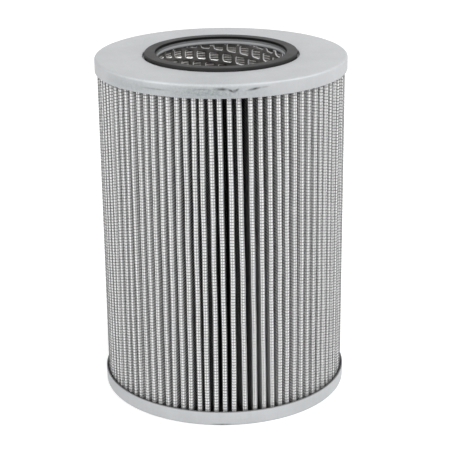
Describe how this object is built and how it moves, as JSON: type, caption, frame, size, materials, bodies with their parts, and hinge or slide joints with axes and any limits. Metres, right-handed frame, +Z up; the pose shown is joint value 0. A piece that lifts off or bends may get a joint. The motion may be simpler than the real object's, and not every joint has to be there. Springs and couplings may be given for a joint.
{
  "type": "pleated hydraulic filter element",
  "caption": "Cylindrical filter element: a pleated pack under wire mesh round a perforated core tube, between pressed end caps, with a rubber seal round the open outlet.",
  "frame": {"origin": "centre of the underside of the bottom end cap", "axes": "+Z up the filter's own axis, from the closed end to the open outlet; -Y is the front, with the side seam just to its right"},
  "size_m": [0.15, 0.15, 0.2095],
  "materials": {
    "plated_steel": "pale satin zinc plate with light scuffs",
    "seal_rubber": "matt moulded black rubber",
    "core_steel": "bare steel strip, dull grey, with bright punched edges",
    "sleeve_wire": "fine woven wire, dull",
    "coated_wire": "woven wire with a grey resin coat, satin",
    "glass_fibre": "white non-woven glass fibre, matt",
    "bonding_resin": "dark cast resin, matt"
  },
  "bodies": {
    "root": {"top_end_cap": "plated_steel", "bottom_end_cap": "plated_steel", "seal_ring": "seal_rubber", "core_tube": "core_steel", "core_sleeve": "sleeve_wire", "outer_mesh": "coated_wire", "filter_media": "glass_fibre", "side_seam": "bonding_resin", "top_potting": "bonding_resin", "bottom_potting": "bonding_resin"}
  },
  "joints": []
}
